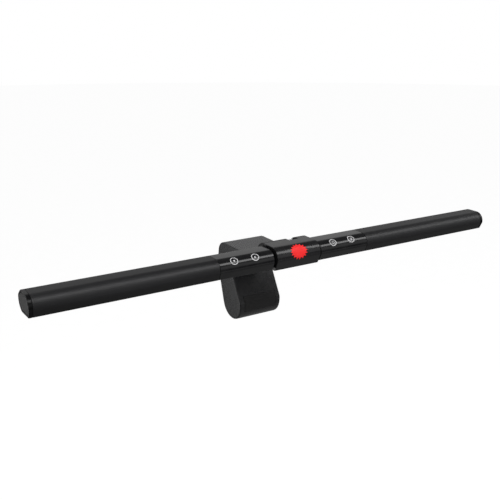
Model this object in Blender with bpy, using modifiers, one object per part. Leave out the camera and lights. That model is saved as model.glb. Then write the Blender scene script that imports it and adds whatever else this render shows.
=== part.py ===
"""Monitor light bar: a tilting LED bar in a clamp that hangs on a monitor's top edge.

Frame: metres, +Z up, +X along the bar, +Y towards the back of the monitor.
The origin is the middle of the soft pad that rests on the monitor's top edge.
Sizes below are in millimetres, and MM turns them into metres.
"""
import math

import bmesh
import bpy
from mathutils import Matrix, Vector

MM = 0.001
GAP = 0.3

# Joint axes, as (y, z), both along X
TILT_AXIS = (-37.5, 15.3)
HINGE_AXIS = (38.8, -9.5)

# Bar
BAR_LENGTH = 450.0
BAR_TOP = 8.95
BAR_BACK = 9.0
NOSE = 20.7
FRONT_EDGE = (-17.5, -7.3)
HOUSING_WALL = 1.5
TOUCH_INNER = 24.0
TOUCH_OUTER = 75.0
CAP_THICKNESS = 3.0
LIGHT_INNER = 60.0
LIGHT_OUTER = 219.0
WINDOW_BACK = -3.4
WINDOW_FRONT = -15.6
LED_COUNT = 20
LED_SIZE = (3.0, 2.8, 1.0)
LED_LINE = -9.2
KEY_SLOPE = math.radians(35)

# Axle and socket
AXLE_RADIUS = 7.6
AXLE_END_RADIUS = 5.4
AXLE_BORE = 5.0
AXLE_END_BORE = 4.2
AXLE_SHOULDER = 23.3
AXLE_HALF = 44.0
AXLE_BORE_HALF = 22.0
SOCKET_X = 6.7
SOCKET_ANGLE = math.radians(60)
SOCKET_SIZE = (8.94, 3.2, 7.3)
SOCKET_MOUTH_RADIUS = 9.6

# Clamp
CLAMP_HALF = 22.0
FRAME_HALF = 19.7
RING_RADIUS = 10.8
RING_NOSE = 22.5
HUB_FRONT_RADIUS = 9.2
RING_FLOOR = -5.2
EMBLEM_REACH = (8.6, 6.7)
EMBLEM_SPOT = (0.2, -20.3, 5.6)
EMBLEM_SLOPE = math.radians(58)
SLOT_X = (1.9, 11.5)
SLOT_ANGLES = (math.radians(12), math.radians(108))
COVER_TOP = 8.5
COVER_BACK = 43.3
COVER_FRONT = -30.2
COVER_CURVE = 11.0
COVER_WALL = 2.0
PLATE = (1.3, 5.4)
LIP = (-16.8, -13.3)
LIP_BOTTOM = -7.0
PAD_HALF = 17.0
PAD_THICKNESS = 1.0
BOX_FRONT = 19.3

# Leg
KNUCKLE_RADIUS = 4.5
KNUCKLE_CLEARANCE = 4.85
PIN_RADIUS = 1.6
BUSH_RADIUS = 2.6
FRAME_KNUCKLE = (12.3, 19.7)
SPRING_POCKET = 6.0
LEG_TOP = -9.8
LEG_BOTTOM = -63.0
LEG_WALL = 2.2
LEG_FRONT_SLOPE = 0.57
LEG_HOLLOW_TOP = -13.0
WEIGHT_HALF = 15.7
BACK_PLATE_Z = (-54.7, -16.3)
LEG_PAD_Z = (-52.0, -38.0)

# Screws: head radius, head height, shank radius
SMALL_SCREW = (1.9, 1.1, 0.9)
AXLE_SCREW = (1.9, 0.4, 0.9)
SHANK_ONLY = (1.0, 1.0, 0.9)
SCREW_SIDES = 12
ARC_STEP = math.radians(13)
SAME_POINT = 0.01


def bar_outline():
    """The bar's section about the tilt axis: sloped upper back, flat top, pinched front edge."""
    return [
        (BAR_BACK, 2.5, 5.2),
        (0.0, BAR_TOP, 6.5),
        (-NOSE, BAR_TOP, 8.5),
        (-NOSE, -0.8, 5.0),
        (*FRONT_EDGE, 0.8),
        (BAR_BACK, -9.8, 8.5),
    ]


def ring_outline(depth=0.0):
    """The sleeve's section, moved inwards by depth: round about the tilt axis at its back."""
    front_edge = (-18.5, -8.8)
    lower_back = tangent_corner(front_edge, RING_RADIUS)
    outline = [
        (RING_RADIUS, RING_RADIUS, RING_RADIUS),
        (-RING_NOSE, RING_RADIUS, 9.5),
        (-RING_NOSE, 0.3, 4.4),
        (*front_edge, 2.6),
        (RING_RADIUS, lower_back, RING_RADIUS),
    ]
    return inset(outline, depth) if depth else outline


def leg_outline(top=LEG_TOP):
    """The leg's side view below its knuckle: slanted front and a fully round foot."""
    jaw = (1.7, -43.5)
    front = jaw[0] + (top - jaw[1]) * LEG_FRONT_SLOPE
    return [
        (front, top, 0.8),
        (HINGE_AXIS[0] + KNUCKLE_RADIUS, top, 0.0),
        (HINGE_AXIS[0] + KNUCKLE_RADIUS, -22.0, 38.0),
        (31.0, LEG_BOTTOM, 16.6),
        (jaw[0], LEG_BOTTOM, 16.5),
        (*jaw, 6.0),
    ]


def leg_outline_with_knuckle():
    """The leg's side view, with the round knuckle that stands up at its back."""
    body = leg_outline()
    y, z = HINGE_AXIS
    knuckle = [
        (y - KNUCKLE_RADIUS, LEG_TOP, 0.0),
        (y - KNUCKLE_RADIUS, z + KNUCKLE_RADIUS, KNUCKLE_RADIUS),
        (y + KNUCKLE_RADIUS, z + KNUCKLE_RADIUS, KNUCKLE_RADIUS),
    ]
    return body[:1] + knuckle + body[2:]


def tangent_corner(point, radius):
    """Height at y = radius of the line through point that just touches the circle below."""
    distance = math.hypot(*point)
    slope = math.atan2(point[1], point[0]) + math.acos(radius / distance)
    touch = (radius * math.cos(slope), radius * math.sin(slope))
    rise = (touch[1] - point[1]) / (touch[0] - point[0])
    return point[1] + rise * (radius - point[0])


def inset(corners, depth):
    """The same outline, moved inwards by depth, or outwards when depth is negative."""
    count = len(corners)
    area = sum(corners[i - 1][0] * corners[i][1] - corners[i][0] * corners[i - 1][1] for i in range(count))
    turn = 1 if area > 0 else -1
    moved = []
    for i in range(count):
        here = Vector(corners[i][:2])
        before = (here - Vector(corners[i - 1][:2])).normalized()
        after = (Vector(corners[(i + 1) % count][:2]) - here).normalized()
        normal = Vector((-before.y, before.x)) * turn
        bisector = (normal + Vector((-after.y, after.x)) * turn).normalized()
        spot = here + bisector * (depth / bisector.dot(normal))
        moved.append((spot.x, spot.y, max(corners[i][2] - depth, 0.0) if convex(before, after, turn)
                      else corners[i][2] + depth))
    return moved


def convex(before, after, turn):
    """Whether the outline turns towards its inside at this corner."""
    return before.cross(after) * turn > 0


def rounded(corners):
    """Points of an outline whose corners (y, z, radius) are rounded with arcs."""
    points = []
    count = len(corners)
    for i in range(count):
        here = Vector(corners[i][:2])
        radius = corners[i][2]
        before = (here - Vector(corners[i - 1][:2])).normalized()
        after = (Vector(corners[(i + 1) % count][:2]) - here).normalized()
        turn = math.atan2(before.cross(after), before.dot(after))
        if radius < 0.05 or abs(turn) < 0.01:
            points.append((here.x, here.y))
            continue
        start = here - before * (radius * math.tan(abs(turn) / 2))
        side = Vector((-before.y, before.x)) * math.copysign(radius, turn)
        centre = start + side
        steps = max(1, math.ceil(abs(turn) / ARC_STEP))
        for step in range(steps + 1):
            spoke = Matrix.Rotation(turn * step / steps, 2) @ -side
            points.append((centre.x + spoke.x, centre.y + spoke.y))
    return [p for i, p in enumerate(points) if math.dist(p, points[i - 1]) > SAME_POINT]


def sector(inner, outer, first, last, steps=8):
    """Points of a ring sector about the origin, between two angles."""
    angles = [first + (last - first) * i / steps for i in range(steps + 1)]
    rim = [(outer * math.cos(a), outer * math.sin(a)) for a in angles]
    bore = [(inner * math.cos(a), inner * math.sin(a)) for a in reversed(angles)]
    return rim + bore


def shifted(points, offset):
    """Points or corners moved by offset in y and z."""
    return [(p[0] + offset[0], p[1] + offset[1], *p[2:]) for p in points]


def clear_scene():
    for obj in list(bpy.data.objects):
        bpy.data.objects.remove(obj, do_unlink=True)
    for group in list(bpy.data.collections):
        bpy.data.collections.remove(group)


def new_collection(name):
    group = bpy.data.collections.new(name)
    bpy.context.scene.collection.children.link(group)
    return group


def new_material(name, colour, roughness, metallic=0.0):
    mat = bpy.data.materials.new(name)
    mat.use_nodes = True
    shader = mat.node_tree.nodes["Principled BSDF"]
    shader.inputs["Base Color"].default_value = (*colour, 1.0)
    shader.inputs["Roughness"].default_value = roughness
    shader.inputs["Metallic"].default_value = metallic
    mat.diffuse_color = (*colour, 1.0)
    return mat


def from_bmesh(name, bm, location=(0, 0, 0), rotation=(0, 0, 0)):
    mesh = bpy.data.meshes.new(name)
    bm.to_mesh(mesh)
    bm.free()
    obj = bpy.data.objects.new(name, mesh)
    obj.location = [value * MM for value in location]
    obj.rotation_euler = rotation
    PARTS.objects.link(obj)
    return obj


def box(name, low, high):
    """A block between two corners."""
    size = [(b - a) * MM for a, b in zip(low, high)]
    centre = [(a + b) / 2 for a, b in zip(low, high)]
    bm = bmesh.new()
    bmesh.ops.create_cube(bm, size=1.0, matrix=Matrix.Diagonal((*size, 1.0)))
    return from_bmesh(name, bm, centre)


def tilted_box(name, size, centre, angle):
    """A block turned about X."""
    bm = bmesh.new()
    bmesh.ops.create_cube(bm, size=1.0, matrix=Matrix.Diagonal((*[s * MM for s in size], 1.0)))
    return from_bmesh(name, bm, centre, (angle, 0, 0))


def rod(name, radius, x_range, axis=(0.0, 0.0), sides=32):
    """A cylinder along X, about a line at (y, z)."""
    bm = bmesh.new()
    length = x_range[1] - x_range[0]
    bmesh.ops.create_cone(bm, cap_ends=True, segments=sides, radius1=radius * MM, radius2=radius * MM,
                          depth=length * MM, matrix=Matrix.Rotation(math.pi / 2, 4, "Y"))
    obj = from_bmesh(name, bm, ((x_range[0] + x_range[1]) / 2, *axis))
    smooth(obj)
    return obj


def post(name, radius, centre, length, direction, sides=SCREW_SIDES):
    """A cylinder about any direction, by its centre."""
    bm = bmesh.new()
    bmesh.ops.create_cone(bm, cap_ends=True, segments=sides, radius1=radius * MM, radius2=radius * MM,
                          depth=length * MM)
    turn = Vector(direction).to_track_quat("Z", "Y").to_euler()
    obj = from_bmesh(name, bm, centre, turn)
    smooth(obj)
    return obj


def to_mesh(curve_object):
    """Swap a curve object for the mesh it makes, with its caps welded on."""
    bpy.context.view_layer.update()
    graph = bpy.context.evaluated_depsgraph_get()
    mesh = bpy.data.meshes.new_from_object(curve_object.evaluated_get(graph))
    bm = bmesh.new()
    bm.from_mesh(mesh)
    bmesh.ops.remove_doubles(bm, verts=bm.verts, dist=0.00001)
    bmesh.ops.recalc_face_normals(bm, faces=bm.faces)
    bm.to_mesh(mesh)
    bm.free()
    name = curve_object.name
    matrix = curve_object.matrix_world.copy()
    bpy.data.objects.remove(curve_object, do_unlink=True)
    obj = bpy.data.objects.new(name, mesh)
    mesh.name = name
    obj.matrix_world = matrix
    PARTS.objects.link(obj)
    return obj


def prism(name, points, x_range):
    """A flat outline of (y, z) points, given a thickness along X."""
    curve = bpy.data.curves.new(name, "CURVE")
    curve.dimensions = "2D"
    curve.fill_mode = "BOTH"
    curve.extrude = (x_range[1] - x_range[0]) / 2 * MM
    spline = curve.splines.new("POLY")
    spline.points.add(len(points) - 1)
    for vertex, (y, z) in zip(spline.points, points):
        vertex.co = (y * MM, z * MM, 0.0, 1.0)
    spline.use_cyclic_u = True
    obj = bpy.data.objects.new(name, curve)
    obj.location = ((x_range[0] + x_range[1]) / 2 * MM, 0, 0)
    obj.rotation_euler = (math.pi / 2, 0, math.pi / 2)
    PARTS.objects.link(obj)
    obj = to_mesh(obj)
    smooth(obj)
    return obj


def wire(name, points, radius):
    """A round wire through points given in millimetres."""
    curve = bpy.data.curves.new(name, "CURVE")
    curve.dimensions = "3D"
    curve.bevel_depth = radius * MM
    curve.bevel_resolution = 2
    curve.use_fill_caps = True
    spline = curve.splines.new("POLY")
    spline.points.add(len(points) - 1)
    for vertex, point in zip(spline.points, points):
        vertex.co = (*[value * MM for value in point], 1.0)
    obj = bpy.data.objects.new(name, curve)
    PARTS.objects.link(obj)
    obj = to_mesh(obj)
    smooth(obj)
    return obj


def smooth(obj):
    obj.data.shade_smooth()
    obj.data.set_sharp_from_angle(angle=math.radians(30))


def turned(name, profile, location, direction, sides=SCREW_SIDES, closed=False):
    """A turned solid from (radius, height) points listed down its outer side; a ring is closed."""
    bm = bmesh.new()
    verts = [bm.verts.new((radius * MM, 0, height * MM)) for radius, height in profile]
    for first, second in zip(verts, verts[1:]):
        bm.edges.new((first, second))
    if closed:
        bm.edges.new((verts[-1], verts[0]))
    turn = Vector(direction).to_track_quat("Z", "Y").to_euler()
    obj = from_bmesh(name, bm, location, turn)
    screw = obj.modifiers.new("turn", "SCREW")
    screw.axis = "Z"
    screw.steps = sides
    screw.render_steps = sides
    screw.use_merge_vertices = True
    screw.merge_threshold = 0.00001
    screw.use_smooth_shade = False
    return obj


def boolean(target, other, operation, solver="EXACT"):
    """Cut or join other into target, and put it away with the cutters."""
    step = target.modifiers.new(operation.lower(), "BOOLEAN")
    step.operation = operation
    step.solver = solver
    step.object = other
    PARTS.objects.unlink(other)
    CUTTERS.objects.link(other)
    other.hide_render = True
    other.display_type = "WIRE"


def cut(target, *others):
    for other in others:
        boolean(target, other, "DIFFERENCE")


def join(target, *others):
    for other in others:
        boolean(target, other, "UNION")


def bevel(obj, width, angle=40, segments=2):
    step = obj.modifiers.new("edges", "BEVEL")
    step.width = width * MM
    step.segments = segments
    step.limit_method = "ANGLE"
    step.angle_limit = math.radians(angle)


def finish(obj, mat, axis=None):
    """Close hairline edges, give a part its material, and hang it on its joint's empty if it moves."""
    weld = obj.modifiers.new("weld", "WELD")
    weld.merge_threshold = 0.00002
    obj.data.materials.clear()
    obj.data.materials.append(mat)
    if axis is not None:
        bpy.context.view_layer.update()
        obj.parent = axis
        obj.matrix_parent_inverse = axis.matrix_world.inverted()
    return obj


def joint_empty(name, axis):
    empty = bpy.data.objects.new(name, None)
    empty.location = (0, axis[0] * MM, axis[1] * MM)
    PARTS.objects.link(empty)
    return empty


def screw(name, head_top, direction, length, mat, axis=None, size=SMALL_SCREW):
    """A screw by the middle of its head's top; direction points out of the head."""
    head, height, shank = size
    profile = [(0, 0), (head, 0), (head, -height), (shank, -height), (shank, -length), (0, -length)]
    obj = turned(name, profile, head_top, direction)
    unit = Vector(direction).normalized()
    middle = Vector(head_top)
    cut(obj, post(name + "_socket", 1.0, middle, height * 1.1, unit, 5))
    return finish(obj, mat, axis)


def screw_hole(name, head_top, direction, length, size=SMALL_SCREW):
    """The clearance for a screw: a recess over the head and a hole for the shank."""
    head, height, shank = size
    unit = Vector(direction).normalized()
    above = 6.0
    middle = Vector(head_top) + unit * ((above - height - GAP) / 2)
    recess = post(name + "_recess", head + GAP, middle, above + height + GAP, unit)
    inner = Vector(head_top) - unit * (length + GAP) / 2
    hole = post(name + "_hole", shank + GAP, inner, length + GAP, unit)
    return recess, hole


def on_bar(points):
    return shifted(points, TILT_AXIS)


def bar_point(x, y, z):
    return (x, y + TILT_AXIS[0], z + TILT_AXIS[1])


def bar_box(name, low, high):
    return box(name, bar_point(*low), bar_point(*high))


def span(side, inner, outer):
    """An X range on the left (side -1) or the right (side 1), low end first."""
    return (inner, outer) if side > 0 else (-outer, -inner)


def side_box(name, side, inner, outer, low, high):
    x_low, x_high = span(side, inner, outer)
    return bar_box(name, (x_low, *low), (x_high, *high))


def housing_shell(name, side, inner, outer, wall, open_from):
    """A length of the bar's outer skin, hollow, with the light window in its underside."""
    shell = prism(name, on_bar(rounded(bar_outline())), span(side, inner, outer))
    hollow = rounded(inset(bar_outline(), wall))
    cut(shell, prism(name + "_hollow", on_bar(hollow), span(side, open_from, outer + 1)))
    return shell


def window(name, side, inner):
    low = (WINDOW_FRONT, -12.0)
    high = (WINDOW_BACK, -5.2)
    return side_box(name, side, inner, BAR_LENGTH / 2, low, high)


def build_wing(side, word):
    end = BAR_LENGTH / 2 - CAP_THICKNESS - GAP / 2
    inner = TOUCH_OUTER + GAP / 2
    shell = housing_shell("wing_housing_" + word, side, inner, end, HOUSING_WALL, inner - 1)
    cut(shell, window("wing_window_" + word, side, inner - 1))
    finish(shell, BLACK_METAL, TILT)


def axle_screw_spot(side):
    return bar_point(side * 35.0, 1.0, -8.5)


def sink_screw_spot(side):
    return bar_point(side * 52.0, 1.5, -8.5)


def build_touch_housing(side, word):
    end = TOUCH_OUTER - GAP / 2
    shell = housing_shell("touch_housing_" + word, side, TOUCH_INNER, end, HOUSING_WALL, TOUCH_INNER + 2)
    cut(shell, window("touch_window_" + word, side, LIGHT_INNER - GAP))
    hole = rod("touch_axle_hole_" + word, AXLE_END_RADIUS + GAP, span(side, TOUCH_INNER - 1, TOUCH_INNER + 3),
               TILT_AXIS)
    cut(shell, hole)
    cut(shell, *screw_hole("touch_axle_screw_" + word, axle_screw_spot(side), (0, 0, -1), 3.4, AXLE_SCREW))
    cut(shell, *screw_hole("touch_sink_screw_" + word, sink_screw_spot(side), (0, 0, -1), 10.0))
    finish(shell, GLOSS_PLASTIC, TILT)


def build_heat_sink(side, word):
    section = [(-15, 0.5), (4.5, 0.5), (4.5, 2.3), (0.9, 2.3), (0.9, 5.2), (-2.2, 5.2), (-2.2, 2.3),
               (-9.7, 2.3), (-9.7, 5.6), (-12.7, 5.6), (-12.7, 2.3), (-15, 2.3)]
    sink = prism("heat_sink_" + word, on_bar(section), span(side, 47.0, LIGHT_OUTER))
    for number, spot in enumerate(cap_screw_spots()):
        middle = bar_point(side * (LIGHT_OUTER - 2), *spot)
        cut(sink, post(f"sink_channel_{word}_{number}", SMALL_SCREW[2] + GAP, middle, 14, (side, 0, 0)))
    cut(sink, *screw_hole("sink_bolt_" + word, sink_screw_spot(side), (0, 0, -1), 10.4, SHANK_ONLY))
    finish(sink, ALUMINIUM, TILT)
    screw("heat_sink_screw_" + word, sink_screw_spot(side), (0, 0, -1), 10.4, STEEL, TILT)


def build_led_strip(side, word):
    strip = side_box("led_strip_" + word, side, LIGHT_INNER, LIGHT_OUTER - 0.5,
                     (LED_LINE - 4, -0.8), (LED_LINE + 4, 0.2))
    bm = bmesh.new()
    pitch = (LIGHT_OUTER - LIGHT_INNER) / LED_COUNT
    size = Matrix.Diagonal((*[value * MM for value in LED_SIZE], 1.0))
    for number in range(LED_COUNT):
        middle = Matrix.Translation((((number + 0.5) * pitch) * MM * side, 0, 0))
        bmesh.ops.create_cube(bm, size=1.0, matrix=middle @ size)
    lamps = from_bmesh("leds_" + word, bm, bar_point(side * LIGHT_INNER, LED_LINE, -1.2))
    join(strip, lamps)
    finish(strip, BOARD_WHITE, TILT)


def build_reflector(side, word):
    section = [(-15.3, -5.55), (-13.7, -1.2), (-4.9, -1.2), (-3.7, -6.85), (-4.4, -6.75), (-5.5, -1.9),
               (-13.1, -1.9), (-14.6, -5.6)]
    tray = prism("reflector_" + word, on_bar(section), span(side, LIGHT_INNER + 0.3, LIGHT_OUTER - 0.8))
    slot = side_box("reflector_slot_" + word, side, LIGHT_INNER + 2, LIGHT_OUTER - 1.8,
                    (LED_LINE - 1.8, -3.0), (LED_LINE + 1.8, 0.0))
    cut(tray, slot)
    finish(tray, WHITE_PLASTIC, TILT)


def build_diffuser(side, word):
    front, back = bar_outline()[-2:]
    rise = (back[1] - front[1]) / (back[0] - front[0])
    near = WINDOW_FRONT + GAP
    far = WINDOW_BACK - GAP
    low_near = front[1] + rise * (near - front[0])
    low_far = front[1] + rise * (far - front[0])
    section = [(near, low_near), (far, low_far), (far, low_far + 1.2), (near, low_near + 1.2)]
    lens = prism("diffuser_" + word, on_bar(section), span(side, LIGHT_INNER, LIGHT_OUTER))
    finish(lens, DIFFUSER, TILT)


def build_touch_board(side, word):
    """The board sits square to the keys, behind the rounded upper front edge."""
    y, z, radius = bar_outline()[2]
    depth = 5.4
    y += radius - depth * math.sin(KEY_SLOPE)
    z += depth * math.cos(KEY_SLOPE) - radius
    x_low, x_high = span(side, 34.0, 72.0)
    centre = bar_point((x_low + x_high) / 2, y, z)
    board = tilted_box("touch_board_" + word, (x_high - x_low, 6.0, 0.8), centre, KEY_SLOPE)
    finish(board, BOARD_GREEN, TILT)


def cap_screw_spots():
    """Where the cap screws enter the heat sink's two ribs, as (y, z) about the tilt axis."""
    return [(-0.65, 3.6), (-11.2, 3.9)]


def build_end_cap(side, word):
    end = BAR_LENGTH / 2
    reach = span(side, end - CAP_THICKNESS + GAP / 2, end)
    cap = prism("end_cap_" + word, on_bar(rounded(bar_outline())), reach)
    spigot = rounded(inset(bar_outline(), HOUSING_WALL + GAP))
    spigot_range = span(side, LIGHT_OUTER + 0.9, end - CAP_THICKNESS + 1)
    join(cap, prism("cap_spigot_" + word, on_bar(spigot), spigot_range))
    recess = rounded(inset(bar_outline(), 1.6))
    cut(cap, prism("cap_recess_" + word, on_bar(recess), span(side, end - 1.3, end + 1)))
    head = end - 1.6
    for number, spot in enumerate(cap_screw_spots()):
        top = bar_point(side * head, *spot)
        direction = (side, 0, 0)
        cut(cap, *screw_hole(f"cap_bolt_{word}_{number}", top, direction, 10.0))
        place = ("back", "front")[number]
        screw(f"end_cap_screw_{word}_{place}", top, direction, 9.0, STEEL, TILT)
    finish(cap, MATTE_PLASTIC, TILT)
    plate_outline = on_bar(rounded(inset(bar_outline(), 1.9)))
    plate = prism("end_plate_" + word, plate_outline, span(side, end - 1.0, end - 0.2))
    bevel(plate, 0.15, segments=1)
    finish(plate, GREY_METAL, TILT)


def build_lead(side, word):
    route = [(20, 0.5, -2.8), (30, 0.4, -2.8), (40, 0.0, -2.7), (45, -1.2, -2.6), (49, -4.5, -2.2),
             (53, -7.6, -1.6), (56, -9.0, -1.1), (59.5, -9.2, -0.9)]
    points = [bar_point(side * x, y, z) for x, y, z in route]
    finish(wire("lead_" + word, points, 0.8), WIRE, TILT)


def build_axle():
    half = AXLE_HALF
    step = AXLE_BORE_HALF
    profile = [(AXLE_END_BORE, half), (AXLE_END_RADIUS, half), (AXLE_END_RADIUS, AXLE_SHOULDER),
               (AXLE_RADIUS, AXLE_SHOULDER), (AXLE_RADIUS, -AXLE_SHOULDER), (AXLE_END_RADIUS, -AXLE_SHOULDER),
               (AXLE_END_RADIUS, -half), (AXLE_END_BORE, -half), (AXLE_END_BORE, -step), (AXLE_BORE, -step),
               (AXLE_BORE, step), (AXLE_END_BORE, step)]
    axle = turned("axle_tube", profile, bar_point(0, 0, 0), (1, 0, 0), 40, closed=True)
    width, thickness, _ = SOCKET_SIZE
    opening = tilted_box("axle_socket_opening", (width + 2 * GAP, thickness + 2 * GAP, 8.0),
                         socket_point(7.0), SOCKET_ANGLE - math.pi / 2)
    cut(axle, opening)
    for side, word in SIDES:
        cut(axle, *screw_hole("axle_bolt_" + word, axle_screw_spot(side), (0, 0, -1), 4.6, SHANK_ONLY))
        screw("axle_screw_" + word, axle_screw_spot(side), (0, 0, -1), 4.3, STEEL, TILT, AXLE_SCREW)
    finish(axle, STEEL, TILT)


def socket_point(radius):
    """A point on the socket's own axis, at a distance from the tilt axis."""
    return bar_point(SOCKET_X, radius * math.cos(SOCKET_ANGLE), radius * math.sin(SOCKET_ANGLE))


def stadium(name, width, height, depth, radius):
    """A rounded block about the socket's axis, its mouth at the given distance."""
    half_w, half_h = width / 2, height / 2
    corner = half_h - 0.1
    points = rounded([(half_w, half_h, corner), (-half_w, half_h, corner), (-half_w, -half_h, corner),
                      (half_w, -half_h, corner)])
    obj = prism(name, points, (-depth / 2, depth / 2))
    obj.location = [value * MM for value in socket_point(radius - depth / 2)]
    obj.rotation_euler = (SOCKET_ANGLE - math.pi / 2, 0, 0)
    return obj


def build_socket():
    width, height, depth = SOCKET_SIZE
    shell = stadium("usb_socket", width, height, depth, SOCKET_MOUTH_RADIUS)
    cut(shell, stadium("usb_hollow", width - 0.7, height - 0.7, 6.2 + 1, SOCKET_MOUTH_RADIUS + 1))
    tongue = tilted_box("usb_tongue", (6.7, 0.7, 5.2), socket_point(SOCKET_MOUTH_RADIUS - 1.2 - 2.6),
                        SOCKET_ANGLE - math.pi / 2)
    join(shell, tongue)
    finish(shell, STEEL, TILT)


def build_main_board():
    tilt = SOCKET_ANGLE - math.pi / 2
    board = tilted_box("main_board", (44.0, 8.8, 1.0), bar_point(0, 0.5 * 0.3, 0.87 * 0.3), tilt)
    chip = tilted_box("driver_chip", (6.0, 4.0, 1.4), bar_point(-9.0, 0.5 * 1.3, 0.87 * 1.3), tilt)
    coil = tilted_box("driver_coil", (5.0, 4.0, 2.4), bar_point(-17.0, 0.5 * 1.6, 0.87 * 1.6), tilt)
    join(board, chip, coil)
    finish(board, BOARD_GREEN, TILT)


def frame_prism(name, corners, half):
    return prism(name, rounded(corners), (-half, half))


def build_arm_frame():
    """Bearing hub, top plate, front lip and the rear knuckles, cast in one piece."""
    frame = rod("arm_frame", HUB_FRONT_RADIUS, (-CLAMP_HALF, CLAMP_HALF), TILT_AXIS, 40)
    back_half = on_bar(sector(AXLE_RADIUS, RING_RADIUS, -math.pi / 2, math.pi / 2, 16))
    join(frame, prism("hub_back", back_half, (-CLAMP_HALF, CLAMP_HALF)))
    y_axle = TILT_AXIS[0]
    plate = box("frame_plate", (-FRAME_HALF, y_axle, PLATE[0]), (FRAME_HALF, 35.8, PLATE[1]))
    lip = box("frame_lip", (-FRAME_HALF, LIP[0], LIP_BOTTOM), (FRAME_HALF, LIP[1], PLATE[0] + 1))
    front_wall = box("frame_wall", (-FRAME_HALF, BOX_FRONT + 0.1, -9.2),
                     (FRAME_HALF, BOX_FRONT + 2.5, PLATE[0] + 1))
    boss = bar_box("friction_boss", (-18.0, -18.4, -4.6), (18.0, -8.0, 4.0))
    join(frame, plate, lip, front_wall, boss)
    for side, word in SIDES:
        reach = span(side, *FRAME_KNUCKLE)
        web = box("knuckle_web_" + word, (reach[0], 32.0, HINGE_AXIS[1]), (reach[1], 39.3, PLATE[0] + 1))
        join(frame, web, rod("frame_knuckle_" + word, KNUCKLE_RADIUS, reach, HINGE_AXIS, 24))
        cut(frame, rod("bush_seat_" + word, BUSH_RADIUS + GAP, span(side, 11.0, 21.0), HINGE_AXIS, 20))
    cut(frame, rod("hub_bore", AXLE_RADIUS + GAP, (-CLAMP_HALF - 1, CLAMP_HALF + 1), TILT_AXIS, 40))
    cut(frame, prism("hub_slot", on_bar(sector(5.0, 16.0, *SLOT_ANGLES)), SLOT_X))
    cut(frame, post("friction_pocket", 2.7, bar_point(0, -13.5, 0), 14.0, (0, 1, 0), 16))
    for side, word in SIDES:
        cut(frame, *screw_hole("frame_ring_bolt_" + word, ring_screw_spot(side), (0, 0, -1), 6.5, SHANK_ONLY))
        cut(frame, *screw_hole("frame_cover_bolt_" + word, cover_screw_spot(side), (0, 0, -1), 4.9))
    finish(frame, BLACK_METAL)


def ring_screw_spot(side):
    return bar_point(side * 12.0, -14.0, -8.9)


def cover_screw_spot(side):
    return (side * 12.0, -22.5, PLATE[0] + 1.3)


def build_ring_cover():
    cover = prism("ring_cover", on_bar(rounded(ring_outline())), (-CLAMP_HALF, CLAMP_HALF))
    back = bar_box("ring_back_half", (-30, -0.15, -15), (30, 15, 15))
    hollow = prism("ring_hollow", on_bar(rounded(ring_outline(1.6))), (-CLAMP_HALF + 1.7, CLAMP_HALF - 1.7))
    cut(hollow, bar_box("ring_floor", (-30, -30, -15), (30, 15, RING_FLOOR)))
    hub = rod("ring_hub_space", HUB_FRONT_RADIUS + GAP, (-30, 30), TILT_AXIS, 40)
    slot = prism("ring_slot", on_bar(sector(5.0, 16.0, *SLOT_ANGLES)), SLOT_X)
    cut(cover, back, hollow, hub, slot)
    for side, word in SIDES:
        spot = ring_screw_spot(side)
        cut(cover, *screw_hole("ring_bolt_" + word, spot, (0, 0, -1), 6.0))
        screw("ring_screw_" + word, spot, (0, 0, -1), 6.0, STEEL)
    cut(cover, emblem_solid("emblem_seat", GAP, -1.0, 0.9))
    finish(cover, MATTE_PLASTIC)


def sun(grow, rays=16, valley=0.76):
    """A generic low sun: an oval disc with short pointed rays, as (x, z) points."""
    points = []
    for number in range(2 * rays):
        angle = math.pi * number / rays
        share = 1.0 if number % 2 == 0 else valley
        points.append(((EMBLEM_REACH[0] * share + grow) * math.cos(angle),
                       (EMBLEM_REACH[1] * share + grow) * math.sin(angle)))
    return points


def emblem_solid(name, grow, outer, inner):
    """The sun pressed onto the sleeve's curved upper front edge."""
    curve = bpy.data.curves.new(name + "_mark", "CURVE")
    curve.dimensions = "2D"
    curve.fill_mode = "BOTH"
    curve.extrude = 8 * MM
    points = sun(grow)
    spline = curve.splines.new("POLY")
    spline.points.add(len(points) - 1)
    for vertex, (x, z) in zip(spline.points, points):
        vertex.co = (x * MM, z * MM, 0.0, 1.0)
    spline.use_cyclic_u = True
    mark = bpy.data.objects.new(name + "_mark", curve)
    mark.location = [value * MM for value in bar_point(*EMBLEM_SPOT)]
    mark.rotation_euler = (EMBLEM_SLOPE, 0, 0)
    PARTS.objects.link(mark)
    mark = to_mesh(mark)
    skin = prism(name, on_bar(rounded(ring_outline(outer))), (-12, 14))
    cut(skin, prism(name + "_under", on_bar(rounded(ring_outline(inner))), (-13, 15)))
    boolean(skin, mark, "INTERSECT")
    return skin


def build_emblem():
    finish(emblem_solid("emblem_inlay", 0.0, -0.1, 0.6), RED)


def build_friction():
    shoe = post("friction_shoe", 2.4, bar_point(0, -9.5, 0), 2.6, (0, 1, 0), 16)
    finish(shoe, WHITE_PLASTIC)
    turns, per_turn, radius, start, stop = 5, 10, 1.7, -11.4, -15.6
    count = turns * per_turn
    points = []
    for step in range(count + 1):
        angle = 2 * math.pi * step / per_turn
        y = start + (stop - start) * step / count
        points.append(bar_point(radius * math.cos(angle), y, radius * math.sin(angle)))
    finish(wire("friction_spring", points, 0.25), STEEL)
    grub = post("friction_grub_screw", 2.4, bar_point(0, -17.3, 0), 2.2, (0, 1, 0), 16)
    cut(grub, post("grub_socket", 1.0, bar_point(0, -18.4, 0), 2.0, (0, 1, 0), 6))
    finish(grub, STEEL)


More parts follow.
